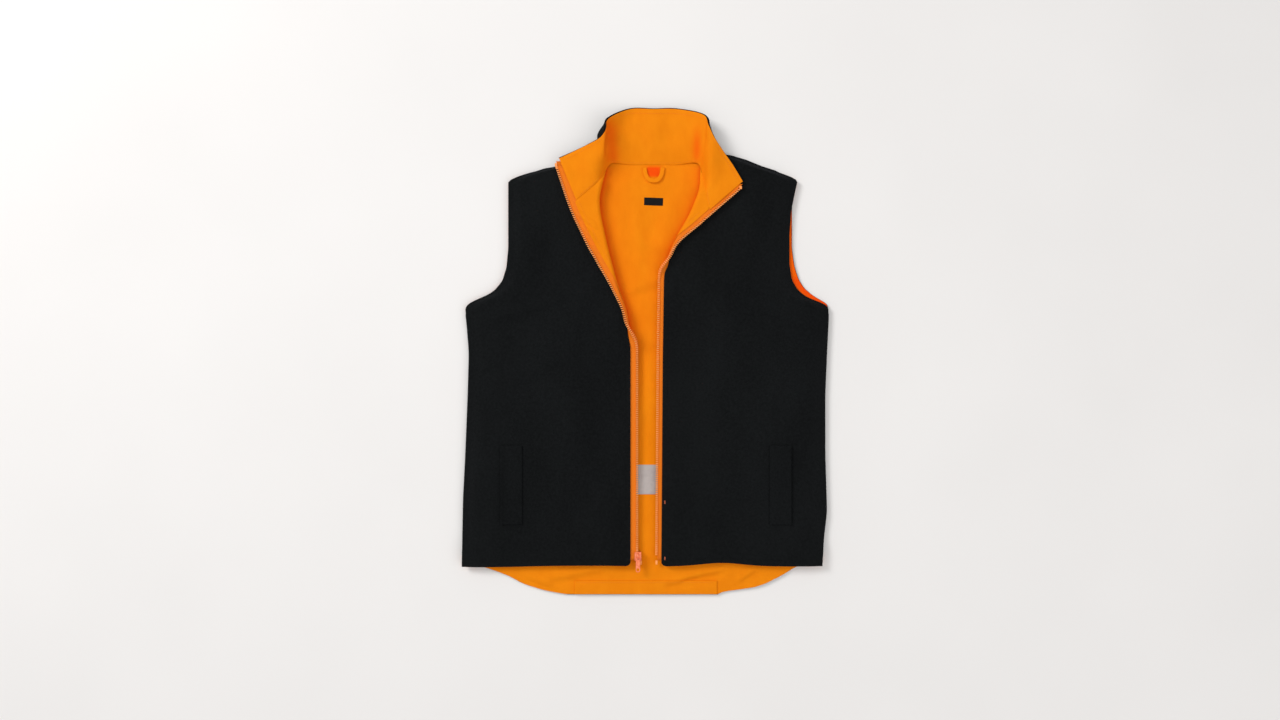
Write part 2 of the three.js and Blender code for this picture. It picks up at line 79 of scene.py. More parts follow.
# ---- sizes, from the frame ----
tape_low, tape_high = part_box("left_zip_tape_lower")
fleece_low, fleece_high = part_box("left_front_fleece")
lining_low, lining_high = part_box("left_front_lining")
back_low, back_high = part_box("back_lining")
loop_low, loop_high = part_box("hanger_loop")
PLANE_Z = (tape_low[2] + tape_high[2]) / 2
FLEECE = (fleece_low[2] - PLANE_Z, fleece_high[2] - PLANE_Z)
LINING = (lining_low[2] - PLANE_Z, lining_high[2] - PLANE_Z)
TAPE = (tape_low[2] - PLANE_Z, tape_high[2] - PLANE_Z)
BACK_Z = back_high[2]
HEM_Y = fleece_low[1]
TAIL_Y = back_low[1]
COLLAR_TOP_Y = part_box("collar_inner_lining")[1][1]
NECK_Y = loop_high[1] + 2.3 * MM
ROLL = 5 * MM
TURNED_Z = PLANE_Z + 2 * ROLL
PITCH = 3.6 * MM
TOOTH = (4 * MM, 1.7 * MM, 5 * MM)  # across the zip, along it, and through it

# ---- each side's lines, as [y, value] pairs in millimetres from the hem up ----
LEFT = dict(
    name="left", sign=-1, reveal=13, flat_to=0, turned_from=78,
    roll=[(-360, 31), (30, 31), (70, 37), (115, 54), (175, 69.6), (231, 82), (260, 85), (291, 78),
          (325, 70)],
    width=[(-360, 18), (30, 18), (70, 18.5), (115, 24), (175, 43), (231, 58), (260, 66), (291, 83),
           (321, 100)],
    side=[(-360, 311), (-250, 309), (-170, 305), (-70, 301), (0, 299), (50, 303), (76, 306), (84, 300),
          (92, 283), (98, 268), (106, 256), (122, 243), (145, 236), (178, 233), (292, 233), (303, 205),
          (311, 172), (318, 130), (323, 100)],
    seam=[(117, 256.5, 0), (95, 275, 0), (82, 288, -1), (75, 298, -7), (69, 309, -13), (57, 321.5, -17)],
    top=[(146, 327, 0), (121, 338.5, 0), (97, 349, 6), (76, 359, 15), (66, 373, 20), (61, 392, 11)],
    bulge=(16, 0.62), tip=321, drop_to=125, hinge=((26, -65), (145, -360)), neck=(78, 318),
)
RIGHT = dict(
    name="right", sign=1, reveal=10.5, flat_to=126, turned_from=186,
    roll=[(-360, 33.5), (0, 36), (132, 38), (160, 41), (190, 54), (234, 80), (277, 97), (325, 99)],
    width=[(-360, 18), (132, 18), (165, 17), (180, 17), (190, 22), (206, 34), (234, 49), (277, 82),
           (300, 100)],
    side=[(-360, 298), (-310, 301), (-270, 306), (-170, 303), (-70, 303), (0, 306), (60, 309),
          (78, 309), (84, 300), (90, 283), (97, 268), (108, 256), (124, 247), (150, 243), (200, 243),
          (240, 246), (270, 252), (293, 257), (301, 238), (308, 218), (315, 196), (326, 169), (336, 129)],
    seam=[(107, 240, 0), (103, 256, 0), (102, 270, -1), (101, 284, -7), (97, 300, -13), (87, 321.5, -17)],
    top=[(163, 288, 0), (146, 316, 0), (131, 336, 4), (114, 360, 12), (105, 380, 12), (96, 400, 2)],
    bulge=(2, 0.6), tip=281, drop_to=155, hinge=((29, 60), (165, -360)), neck=(108, 322),
)


def along(pairs, y, reach=12):
    """A value at y (metres) that runs smoothly through the pairs, averaged over a short stretch."""
    ys, vs = np.array(pairs, float).T
    y = np.asarray(y, float) / MM
    steps = np.linspace(-1, 1, 9) * reach

    def value(t):
        beyond = vs[-1] + (t - ys[-1]) * (vs[-1] - vs[-2]) / (ys[-1] - ys[-2])
        return np.where(t > ys[-1], beyond, np.interp(t, ys, vs))

    return sum(value(y + step) for step in steps) / len(steps) * MM


def smoothstep(t):
    t = np.clip(t, 0, 1)
    return t * t * (3 - 2 * t)


def turn(side, y):
    """How far a front's edge has turned over at y, from 0 to half a turn."""
    low, high = side["flat_to"] * MM, side["turned_from"] * MM
    return math.pi * smoothstep((np.asarray(y) - low) / (high - low))


def front_point(side, s, y, n, lift=0.0):
    """Points of a front: s past the roll line, y up the vest, n above the zip tape's middle."""
    s, y, n = np.broadcast_arrays(np.asarray(s, float), np.asarray(y, float), np.asarray(n, float))
    angle = np.minimum(np.maximum(s, 0) / ROLL, turn(side, y))
    rest = s - angle * ROLL
    radius = ROLL - n
    q = along(side["roll"], y) - radius * np.sin(angle) - rest * np.cos(angle)
    z = PLANE_Z + ROLL - radius * np.cos(angle) + rest * np.sin(angle)
    return np.stack([side["sign"] * q, y, z + lift], axis=-1)


def edge_q(side, y):
    """q of the tips of the teeth."""
    return front_point(side, along(side["width"], y), y, 0)[..., 0] * side["sign"]


def edge_slope(side, y):
    """Length of the zip for each unit of y."""
    return np.hypot(1, (edge_q(side, y + 4 * MM) - edge_q(side, y - 4 * MM)) / (8 * MM))


def past_roll(side, y, inset):
    """s of a point that lies inset from the tips of the teeth."""
    return along(side["width"], y) - inset * edge_slope(side, y)


# ---- soft relief shared by the layers ----
def value_noise(points, scale, seed):
    """Smooth noise at points, one number each from about -1 to 1."""
    flat = points.reshape(-1, 3)
    shift = Vector((seed * 7.31, seed * 3.17, seed * 1.93))
    return np.array([noise.noise(Vector(p) / scale + shift) for p in flat]).reshape(points.shape[:-1])


def crease(x, y, start, end, width, depth):
    """A soft fold from start to end: a ridge beside a valley, fading at its ends."""
    (x0, y0), (x1, y1) = start, end
    dx, dy = x1 - x0, y1 - y0
    length = math.hypot(dx, dy)
    t = ((x - x0) * dx + (y - y0) * dy) / length ** 2
    across = ((x - x0) * dy - (y - y0) * dx) / length
    fade = smoothstep(t / 0.3) * smoothstep((1 - t) / 0.3)
    ridge = np.exp(-(across / width) ** 2)
    valley = np.exp(-((across - 1.6 * width) / width) ** 2)
    return depth * fade * (ridge - 0.8 * valley)


# ---- meshes ----
def mesh_object(name, points, faces):
    """A smooth-shaded object; its name gets underscores and "_look" at the end."""
    name = name.replace(" ", "_") + "_look"
    mesh = bpy.data.meshes.new(name)
    mesh.from_pydata([tuple(p) for p in points], [], [tuple(f) for f in faces])
    mesh.update()
    for polygon in mesh.polygons:
        polygon.use_smooth = True
    piece = bpy.data.objects.new(name, mesh)
    bpy.context.scene.collection.objects.link(piece)
    return piece


def shell(name, low, high):
    """A closed sheet between two grids of points, low and high, each rows x columns x 3."""
    rows, columns, _ = low.shape
    half = rows * columns
    index = np.arange(half).reshape(rows, columns)
    a, b, c, d = index[:-1, :-1], index[:-1, 1:], index[1:, 1:], index[1:, :-1]
    under = np.stack([a, d, c, b], -1).reshape(-1, 4)
    over = np.stack([a, b, c, d], -1).reshape(-1, 4) + half
    rim = np.concatenate([index[0, :-1], index[:-1, -1], index[-1, :0:-1], index[:0:-1, 0]])
    after = np.roll(rim, -1)
    wall = np.stack([rim, after, after + half, rim + half], -1)
    faces = np.concatenate([under, over, wall])
    points = np.concatenate([low.reshape(-1, 3), high.reshape(-1, 3)])
    piece = mesh_object(name, points, faces)
    outward(piece)
    return piece


def outward(piece):
    """Turns a closed mesh's faces outward."""
    bm = bmesh.new()
    bm.from_mesh(piece.data)
    if bm.calc_volume(signed=True) < 0:
        bmesh.ops.reverse_faces(bm, faces=bm.faces)
    bm.to_mesh(piece.data)
    bm.free()


def fine_to_edges(count, edge=(0.0004, 0.001, 0.0018, 0.003, 0.005, 0.009), length=0.3):
    """Fractions from 0 to 1, close together at both ends."""
    near = np.array(edge) / length
    middle = np.linspace(near[-1], 1 - near[-1], count)
    return np.concatenate([[0], near[:-1], middle, 1 - near[:-1][::-1], [1]])


def rounded(distance, radius):
    """How full a sheet is near its edge, 0 at the edge and 1 past the radius."""
    t = np.clip(distance / radius, 0, 1)
    return np.sqrt(1 - (1 - t) ** 2)


# ---- materials ----
def material(name, colour, roughness, specular=0.5, sheen=0.0, sheen_tint=(1, 1, 1), metallic=0.0,
             coat=0.0):
    """A Principled material with its fixed numbers on the shader's own sockets."""
    made = bpy.data.materials.new(name)
    made.use_nodes = True
    shader = made.node_tree.nodes["Principled BSDF"]
    shader.inputs["Base Color"].default_value = (*colour, 1)
    shader.inputs["Roughness"].default_value = roughness
    shader.inputs["Specular IOR Level"].default_value = specular
    shader.inputs["Metallic"].default_value = metallic
    shader.inputs["Sheen Weight"].default_value = sheen
    shader.inputs["Sheen Tint"].default_value = (*sheen_tint, 1)
    shader.inputs["Coat Weight"].default_value = coat
    return made, made.node_tree, shader


def node(tree, kind, **values):
    made = tree.nodes.new(kind)
    for key, value in values.items():
        if key in made.inputs:
            made.inputs[key].default_value = value
        else:
            setattr(made, key, value)
    return made


def object_coordinates(tree, scale=(1, 1, 1), turn_z=0.0):
    place = node(tree, "ShaderNodeTexCoord")
    mapping = node(tree, "ShaderNodeMapping")
    mapping.inputs["Scale"].default_value = scale
    mapping.inputs["Rotation"].default_value = (0, 0, turn_z)
    tree.links.new(place.outputs["Object"], mapping.inputs["Vector"])
    return mapping.outputs["Vector"]


def noise_texture(tree, scale, detail=2.0, stretch=(1, 1, 1), turn_z=0.0):
    made = node(tree, "ShaderNodeTexNoise", Scale=scale, Detail=detail)
    tree.links.new(object_coordinates(tree, stretch, turn_z), made.inputs["Vector"])
    return made.outputs["Fac"]


def wave_texture(tree, period, direction):
    """Bands a period (metres) apart along X, Y or the diagonal."""
    made = node(tree, "ShaderNodeTexWave", Scale=2 * math.pi / period / 20, wave_type="BANDS",
                bands_direction=direction)
    tree.links.new(object_coordinates(tree), made.inputs["Vector"])
    return made.outputs["Fac"]


def math_node(tree, operation, a, b):
    made = node(tree, "ShaderNodeMath", operation=operation)
    for socket, value in zip(made.inputs, (a, b)):
        if isinstance(value, (int, float)):
            socket.default_value = value
        else:
            tree.links.new(value, socket)
    return made.outputs[0]


def tint(tree, shader, factor, dark, light, low=0.3, high=0.7):
    """Colours the surface between dark and light as factor goes from low to high."""
    ramp = node(tree, "ShaderNodeValToRGB")
    ramp.color_ramp.elements[0].position = low
    ramp.color_ramp.elements[1].position = high
    ramp.color_ramp.elements[0].color = (*dark, 1)
    ramp.color_ramp.elements[1].color = (*light, 1)
    tree.links.new(factor, ramp.inputs["Fac"])
    tree.links.new(ramp.outputs["Color"], shader.inputs["Base Color"])
    return ramp.outputs["Color"]


def bump(tree, shader, height, distance, strength=1.0):
    made = node(tree, "ShaderNodeBump", Strength=strength, Distance=distance)
    tree.links.new(height, made.inputs["Height"])
    tree.links.new(made.outputs["Normal"], shader.inputs["Normal"])


def fleece_material():
    """Short-pile fleece: clumps of nap 1 to 3 mm across, and a broad brushed shade."""
    made, tree, shader = material("black_fleece", (0.006, 0.007, 0.0075), 0.95, 0.12,
                                  sheen=0.02, sheen_tint=(0.75, 0.8, 1.0))
    nap = noise_texture(tree, 900, 4)
    clumps = noise_texture(tree, 260, 3)
    brushed = noise_texture(tree, 14, 3, stretch=(1, 0.45, 1))
    height = math_node(tree, "ADD", nap, math_node(tree, "MULTIPLY", clumps, 1.6))
    bump(tree, shader, height, 0.0009, 0.9)
    shade = math_node(tree, "ADD", math_node(tree, "MULTIPLY", clumps, 0.55),
                      math_node(tree, "MULTIPLY", brushed, 0.45))
    tint(tree, shader, shade, (0.0022, 0.0027, 0.0029), (0.0054, 0.0063, 0.0067), 0.35, 0.65)
    return made


def lining_material():
    """Plain weave of fine fluorescent polyester, with painted shade mixed in from a point attribute."""
    dark, light = (0.80, 0.212, 0.003), (0.84, 0.242, 0.004)
    made, tree, shader = material("orange_lining", light, 0.75, 0.04)
    warp = wave_texture(tree, 0.0007, "X")
    weft = wave_texture(tree, 0.0007, "Y")
    weave = math_node(tree, "MULTIPLY", warp, weft)
    crumple = noise_texture(tree, 55, 4)
    height = math_node(tree, "ADD", math_node(tree, "MULTIPLY", weave, 0.35), crumple)
    bump(tree, shader, height, 0.0012, 0.35)
    slubs = noise_texture(tree, 70, 4, stretch=(1, 0.5, 1))
    cloth = tint(tree, shader, slubs, dark, light, 0.25, 0.75)
    # painted shade: a point attribute mixes the cloth towards deep red where the lining lies in shade in
    # folds and under other layers
    shade = node(tree, "ShaderNodeAttribute", attribute_name="painted_shade")
    mix = node(tree, "ShaderNodeMixRGB", Color2=(0.86, 0.075, 0.002, 1))
    tree.links.new(shade.outputs["Fac"], mix.inputs["Fac"])
    tree.links.new(cloth, mix.inputs["Color1"])
    tree.links.new(mix.outputs["Color"], shader.inputs["Base Color"])
    return made


def tape_material():
    made, tree, shader = material("zip_tape", (0.86, 0.205, 0.009), 0.7, 0.15)
    rib = wave_texture(tree, 0.0011, "Y")
    twill = wave_texture(tree, 0.0009, "DIAGONAL")
    bump(tree, shader, math_node(tree, "ADD", rib, math_node(tree, "MULTIPLY", twill, 0.6)), 0.0003, 0.7)
    tint(tree, shader, twill, (0.78, 0.155, 0.005), (0.87, 0.215, 0.009), 0.1, 0.9)
    return made


def moulded_material():
    made, tree, shader = material("zip_plastic", (0.95, 0.30, 0.10), 0.45, 0.35)
    tint(tree, shader, noise_texture(tree, 300, 2), (0.93, 0.29, 0.05), (0.97, 0.37, 0.11), 0.3, 0.7)
    bump(tree, shader, noise_texture(tree, 900, 2), 0.0001, 0.4)
    return made


def lacquer_material():
    made, tree, shader = material("slider_lacquer", (0.90, 0.20, 0.07), 0.3, coat=0.3)
    tint(tree, shader, noise_texture(tree, 420, 3), (0.82, 0.13, 0.03), (0.93, 0.24, 0.09), 0.35, 0.65)
    bump(tree, shader, noise_texture(tree, 1200, 2), 0.00006, 0.5)
    return made


def reflective_material():
    """Glass-bead tape: grey, faintly pearly, with a fine honeycomb of cells."""
    made, tree, shader = material("reflective", (0.42, 0.37, 0.35), 0.5, metallic=0.2)
    cells = node(tree, "ShaderNodeTexVoronoi", Scale=900.0, feature="DISTANCE_TO_EDGE")
    tree.links.new(object_coordinates(tree), cells.inputs["Vector"])
    bump(tree, shader, cells.outputs["Distance"], 0.0003, 0.6)
    tint(tree, shader, noise_texture(tree, 90, 4), (0.36, 0.315, 0.30), (0.44, 0.395, 0.375), 0.3, 0.7)
    return made


def label_material():
    made, tree, shader = material("label", (0.008, 0.008, 0.009), 0.8, 0.1)
    satin = wave_texture(tree, 0.0006, "X")
    bump(tree, shader, satin, 0.0002, 0.7)
    tint(tree, shader, noise_texture(tree, 500, 3), (0.006, 0.006, 0.007), (0.011, 0.011, 0.012), 0.3, 0.7)
    return made


def thread_material(name, dark, light):
    made, tree, shader = material(name, light, 0.7, 0.15)
    twist = wave_texture(tree, 0.0006, "DIAGONAL")
    bump(tree, shader, twist, 0.0002, 0.8)
    tint(tree, shader, twist, dark, light, 0.2, 0.8)
    return made


FLEECE_LOOK = fleece_material()
LINING_LOOK = lining_material()
TAPE_LOOK = tape_material()
MOULDED_LOOK = moulded_material()
LACQUER_LOOK = lacquer_material()
REFLECTIVE_LOOK = reflective_material()
LABEL_LOOK = label_material()
ORANGE_THREAD = thread_material("orange_thread", (0.78, 0.17, 0.01), (0.95, 0.3, 0.05))
BLACK_THREAD = thread_material("black_thread", (0.0015, 0.0015, 0.0018), (0.004, 0.004, 0.0045))
BARTACK_THREAD = thread_material("bartack_thread", (0.7, 0.13, 0.05), (0.95, 0.3, 0.16))


def cloth(piece, held, rests_on):
    """Does nothing; the piece is left as it is."""


def painted_shade(piece, amount):
    """Sets how far each point of a lining is painted towards deep red as painted shade, where orange faces
    orange in folds and under other layers.
    """
    values = amount(np.array([v.co for v in piece.data.vertices]))
    attribute = piece.data.attributes.new("painted_shade", "FLOAT", "POINT")
    attribute.data.foreach_set("value", np.clip(values, 0, 1).astype(np.float32))


def finish_piece(piece, look, replaced=(), body="root"):
    """Gives a piece its material in one slot and hides the CAD nodes that it replaces; with body None it is
    not attached to a body here.
    """
    piece.data.materials.clear()
    piece.data.materials.append(look)
    if body:
        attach(piece, body)
    if replaced:
        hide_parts(*replaced)
    return piece


# ---- the fronts ----
HEM_RADIUS = 9 * MM
LIFT_FADE = 26 * MM  # over which a front comes down to the back at its sewn edges
CREASES = dict(
    left=[((-0.300, 0.045), (-0.130, 0.095), 0.009, 1.8 * MM),
          ((-0.270, -0.060), (-0.110, 0.010), 0.014, 1.6 * MM),
          ((-0.235, 0.260), (-0.180, 0.090), 0.012, 1.5 * MM),
          ((-0.302, -0.330), (-0.060, -0.300), 0.012, 1.2 * MM),
          ((-0.290, 0.010), (-0.225, -0.150), 0.011, 1.4 * MM),
          ((-0.122, 0.240), (-0.076, 0.205), 0.0045, 2.2 * MM),
          ((-0.112, 0.222), (-0.080, 0.180), 0.0045, 2.0 * MM),
          ((-0.098, 0.165), (-0.062, 0.140), 0.005, 1.2 * MM),
          ((-0.104, 0.205), (-0.082, 0.150), 0.005, 1.2 * MM)],
    right=[((0.300, 0.045), (0.120, 0.100), 0.009, 1.8 * MM),
           ((0.270, -0.060), (0.100, 0.015), 0.014, 1.6 * MM),
           ((0.235, 0.260), (0.185, 0.090), 0.012, 1.5 * MM),
           ((0.290, -0.345), (0.070, -0.300), 0.012, 1.4 * MM),
           ((0.290, 0.010), (0.225, -0.150), 0.011, 1.4 * MM),
           ((0.090, 0.235), (0.125, 0.200), 0.006, 2.0 * MM),
           ((0.075, 0.205), (0.100, 0.180), 0.005, 1.0 * MM)],
)


def front_rows(side):
    """y of every row of a front: fine at the hem, even above, up to the end of its shoulder."""
    fine = HEM_Y + np.array([0, 0.4, 1, 1.8, 3, 4.6, 6.5, 9]) * MM
    return np.concatenate([fine, np.arange(HEM_Y + 13 * MM, side["side"][-1][0] * MM, 4 * MM)])


def hem_rise(side, q):
    """How far the hem rises at q: its own wave, and the rounded corner beside the zip."""
    edge = edge_q(side, HEM_Y) + side["reveal"] * MM
    near = np.clip((q - edge) / HEM_RADIUS, 0, 1)
    corner = HEM_RADIUS * (1 - np.sqrt(1 - (1 - near) ** 2)) * 0.8
    wave = 6 * MM * np.exp(-((q - 0.128) / 0.05) ** 2) if side["sign"] > 0 else 1.4 * MM * np.sin(q / 0.06)
    return corner + wave


def relief_at(side, q, y):
    """Height of a front's soft undulations over flat, the same for all of its layers."""
    x = side["sign"] * q
    places = np.stack([x, y * 0.6, np.zeros_like(x)], -1)
    relief = 1.5 * MM * value_noise(places, 0.11, side["sign"] + 2)
    relief = relief + 0.5 * MM * value_noise(places, 0.035, side["sign"] + 5)
    for start, end, width, depth in CREASES[side["name"]]:
        relief = relief + crease(x, y, start, end, width, depth)
    inward = smoothstep((along(side["side"], y, 4) - q) / LIFT_FADE)
    sewn = smoothstep((y + 0.335) / 0.03)
    fall = (PLANE_Z + FLEECE[0] - BACK_Z - 3 * MM) * (1 - inward) * (0.35 + 0.65 * sewn)
    return relief * inward - fall


def seam_points(side):
    """The q, y and drop of the collar's seam on a front, in millimetres, from the lowest point up."""
    return np.array(sorted(side["seam"], key=lambda point: point[1]), float).T


def settle(side, points):
    """Gives front points their undulations, their hem, and their way down to the neck seam."""
    q, y = np.abs(points[..., 0]), points[..., 1]
    points = points.copy()
    points[..., 2] += relief_at(side, q, y)
    _, ys, drops = seam_points(side)
    near_neck = smoothstep((side["drop_to"] * MM - q) / 0.055)
    squeeze = -np.interp(y / MM, ys, drops) * MM / (TURNED_Z - BACK_Z) * near_neck
    points[..., 2] = BACK_Z + 0.5 * MM + (points[..., 2] - BACK_Z - 0.5 * MM) * (1 - squeeze)
    points[..., 1] += hem_rise(side, q) * smoothstep((HEM_Y + 40 * MM - y) / (40 * MM))
    return points


def inner_line(side, y):
    """q where a front's flat part ends: its roll line, and above the neck the shoulder seam."""
    roll_q = along(side["roll"], y)
    neck_q, neck_y = np.array(side["neck"]) * MM
    return np.maximum(roll_q, neck_q + (y - neck_y) * 1.3) if y > neck_y else roll_q


def fold_reach(side, y, inset):
    """s at which a front's row ends: inset from the teeth, or at the collar's seam."""
    least = 0.3 * MM
    if y > side["neck"][1] * MM:
        return least
    reach = float(past_roll(side, y, inset))
    seam_q, seam_y, _ = seam_points(side) * MM
    if y > seam_y[0]:
        q = np.interp(y, seam_y, seam_q)
        reach = min(reach, q + math.pi * ROLL - float(along(side["roll"], y)))
    return max(reach, least)


def front_columns(reach):
    """s of the columns past the roll line, close together round the roll and at the edge."""
    knee = min(17 * MM, 0.75 * reach)
    rest = np.append(np.linspace(0, 0.94, 22)[1:], [0.965, 0.985, 0.995, 1])
    return np.concatenate([np.linspace(0, knee, 15)[1:], knee + (reach - knee) * rest])


def front_sheet(side, layer, name, inset):
    """One closed sheet from the side seam, over the roll, out to the zip."""
    columns = fine_to_edges(46)
    grids = []
    for n in layer:
        lines = []
        for y in front_rows(side):
            outer, inner = float(along(side["side"], y, 4)), float(inner_line(side, y))
            q = outer + columns * (inner - outer)
            flat = np.stack([side["sign"] * q, np.full_like(q, y), np.full_like(q, PLANE_Z + n)], -1)
            past = front_point(side, front_columns(fold_reach(side, y, inset)), y, n)
            lines.append(np.concatenate([flat, past]))
        grids.append(settle(side, np.array(lines)))
    thin_edges(*grids)
    return shell(name, *grids)


def thin_edges(lower, upper):
    """Draws the two faces of a sheet together along its four edges, so that they round off."""
    middle = (lower + upper) / 2
    down = np.cumsum(np.linalg.norm(np.diff(middle, axis=0), axis=-1), 0)
    across = np.cumsum(np.linalg.norm(np.diff(middle, axis=1), axis=-1), 1)
    down = np.concatenate([np.zeros((1, middle.shape[1])), down])
    across = np.concatenate([np.zeros((middle.shape[0], 1)), across], axis=1)
    distance = np.minimum.reduce([down, down[-1:] - down, across, across[:, -1:] - across])
    radius = np.maximum(np.linalg.norm(upper - lower, axis=-1) / 2, 0.01 * MM)
    full = np.maximum(rounded(distance, radius), 0.08)[..., None]
    lower += (middle - lower) * (1 - full)
    upper += (middle - upper) * (1 - full)


def fold_blend(piece):
    """Bakes a piece's placement into the points of its mesh."""
    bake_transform(piece)


def nodes_of(side, *names):
    return [side["name"] + "_" + name for name in names]


for side in (LEFT, RIGHT):
    for kind, layer, look, slot, under in (
            ("fleece", FLEECE, FLEECE_LOOK, "black_fleece", side["name"] + "_front_lining_look"),
            ("lining", LINING, LINING_LOOK, "orange_lining", "back_lining_look")):
        front = front_sheet(side, layer, side["name"] + " front " + kind, side["reveal"] * MM)
        replaced = nodes_of(side, "front_" + kind, "flap_" + kind, "lapel_" + kind)
        finish_piece(front, look, replaced, body=None)
        fold_blend(front)
        cloth(front, "folded", [under])


# ---- the back ----
BACK_OUTER = (0.3 * MM, 2.8 * MM)  # heights of the back's fleece and of its lining
BACK_INNER = (3.0 * MM, 3.8 * MM)
TAIL_SIDE = dict(
    left=[(-412, 120), (-409.5, 133), (-406, 156), (-403, 173), (-399.5, 184), (-396, 195),
          (-392.7, 207), (-386, 219), (-379, 231), (-372, 249), (-365.5, 267), (-362, 280), (-358, 292),
          (-350, 304)],
    right=[(-412, 118), (-409.5, 124), (-406, 128), (-403, 138), (-399.5, 180), (-396, 188),
           (-392.7, 201), (-386, 214), (-379, 228), (-372, 240), (-365.5, 250), (-360, 262),
           (-352, 280), (-345, 294)],
)
ARMHOLE_BACK = dict(
    left=[(76, 303), (84, 296), (92, 279), (98, 264), (106, 252), (122, 240), (145, 233), (178, 230),
          (292, 229)],
    right=[(76, 309), (83, 308), (97, 284), (110, 268.6), (124, 260), (138, 255), (151, 251.6),
           (178, 248), (206, 248), (240, 248), (292, 250)],
)
SHOULDER_TOP = [(-229, 288), (-205, 300), (-172, 311), (-130, 318), (-100, 323), (-70, 325), (-26, 324),
                (52, 324), (100, 326), (126, 336), (145, 333), (169, 326), (196, 315), (218, 308),
                (236, 299), (250, 288)]
BACK_CREASES = [((0.051, -0.3825), (0.140, -0.3650), 0.005, 3.6 * MM),
                ((-0.020, 0.270), (-0.006, 0.120), 0.010, 1.6 * MM),
                ((0.052, 0.285), (0.016, 0.150), 0.012, 1.8 * MM),
                ((-0.060, 0.200), (0.060, 0.170), 0.010, 1.2 * MM),
                ((-0.045, 0.100), (0.040, 0.130), 0.008, 1.2 * MM),
                ((-0.180, -0.385), (-0.060, -0.362), 0.007, 3.0 * MM),
                ((-0.215, -0.372), (-0.150, -0.398), 0.007, 2.4 * MM),
                ((0.150, -0.390), (0.190, -0.362), 0.006, 2.6 * MM),
                ((0.020, -0.392), (0.100, -0.372), 0.007, 2.2 * MM),
                ((-0.012, 0.050), (0.010, -0.080), 0.008, 1.0 * MM)]


def back_edge(side, y):
    """Distance of the back's edge from the middle: tail, side seam, armhole."""
    seam = [pair for pair in side["side"] if -340 < pair[0] < 74]
    pairs = TAIL_SIDE[side["name"]] + seam + ARMHOLE_BACK[side["name"]]
    return along(pairs, y, 3)


def back_relief(x, y):
    """Height of the back's soft undulations over flat."""
    places = np.stack([x, y, np.zeros_like(x)], -1)
    relief = 1.3 * MM + 1.6 * MM * value_noise(places, 0.07, 11) + 0.9 * MM * value_noise(places, 0.024, 13)
    for start, end, width, depth in BACK_CREASES:
        relief = relief + crease(x, y, start, end, width, depth)
    tail = smoothstep((TAIL_Y + 0.02 - y) / 0.02)
    neck = smoothstep((y - NECK_Y + 0.03) / 0.03)
    return np.maximum(relief, 0) * (1 - 0.8 * tail) * (1 - 0.9 * neck)


def back_sheet(layer, name, inset=0.0):
    """One closed sheet for the back, from its tail hem to the shoulders and the neck."""
    rows = TAIL_Y + inset + np.concatenate([np.array([0, 0.4, 1, 2, 3.5, 5.5, 8]) * MM,
                                            np.arange(12 * MM, 0.700, 4 * MM)])
    columns = fine_to_edges(110, length=0.6)
    top_x, top_y = np.array(SHOULDER_TOP, float).T * MM
    lines = []
    for y in rows:
        low, high = -back_edge(LEFT, y) + inset, back_edge(RIGHT, y) - inset
        x = low + columns * (high - low)
        lines.append(np.stack([x, np.full_like(x, y)], -1))
    last = lines[-1]
    goal = np.interp(last[:, 0], top_x, top_y - inset)
    for t in np.append(np.linspace(0, 1, 12)[1:-1], [0.97, 0.99, 1]):
        lines.append(np.stack([last[:, 0], last[:, 1] + (goal - last[:, 1]) * t], -1))
    flat = np.array(lines)
    relief = back_relief(flat[..., 0], flat[..., 1])
    grids = [np.concatenate([flat, (relief + z)[..., None]], axis=-1) for z in layer]
    thin_edges(*grids)
    return shell(name, *grids)


back_fleece = back_sheet(BACK_OUTER, "back fleece")
finish_piece(back_fleece, FLEECE_LOOK, ["back_fleece"])
cloth(back_fleece, "laid", ["table"])
back_lining = back_sheet(BACK_INNER, "back lining", 1 * MM)


def painted_shade_beside_fronts(points):
    """Painted shade, deep red, beside the fronts' rolls, in the armholes' openings and inside the hanger
    loop.
    """
    x, y = points[:, 0], points[:, 1]
    shade = np.zeros(len(points))
    for side, strength in ((LEFT, 0.95), (RIGHT, 0.75)):
        gap = along(side["roll"], y) - side["sign"] * x
        near = 0.6 * np.exp(-(np.maximum(gap - 0.002, 0) / 0.009) ** 2)
        near = near + 0.4 * np.exp(-np.maximum(gap, 0) / 0.028)
        ends = smoothstep((y + 0.10) / 0.12) * smoothstep((0.335 - y) / 0.03)
        armhole = smoothstep((side["sign"] * x - along(side["side"], y) + 4 * MM) / (8 * MM))
        armhole = armhole * smoothstep((y - 0.06) / 0.02) * smoothstep((0.16 - y) / 0.06)
        shade = np.maximum.reduce([shade, armhole * 1.6, strength * near * ends])
    loop_middle = (loop_low + loop_high) / 2
    hole = np.exp(-((x - loop_middle.x) / 0.0125) ** 6 - ((y - loop_middle.y - 0.005) / 0.009) ** 6)
    return np.maximum(shade, 1.2 * hole)


# Paints shade into the back lining beside the fronts, in the armholes and inside the hanger loop.
painted_shade(back_lining, painted_shade_beside_fronts)
finish_piece(back_lining, LINING_LOOK, ["back_lining"])
cloth(back_lining, "laid", [back_fleece])


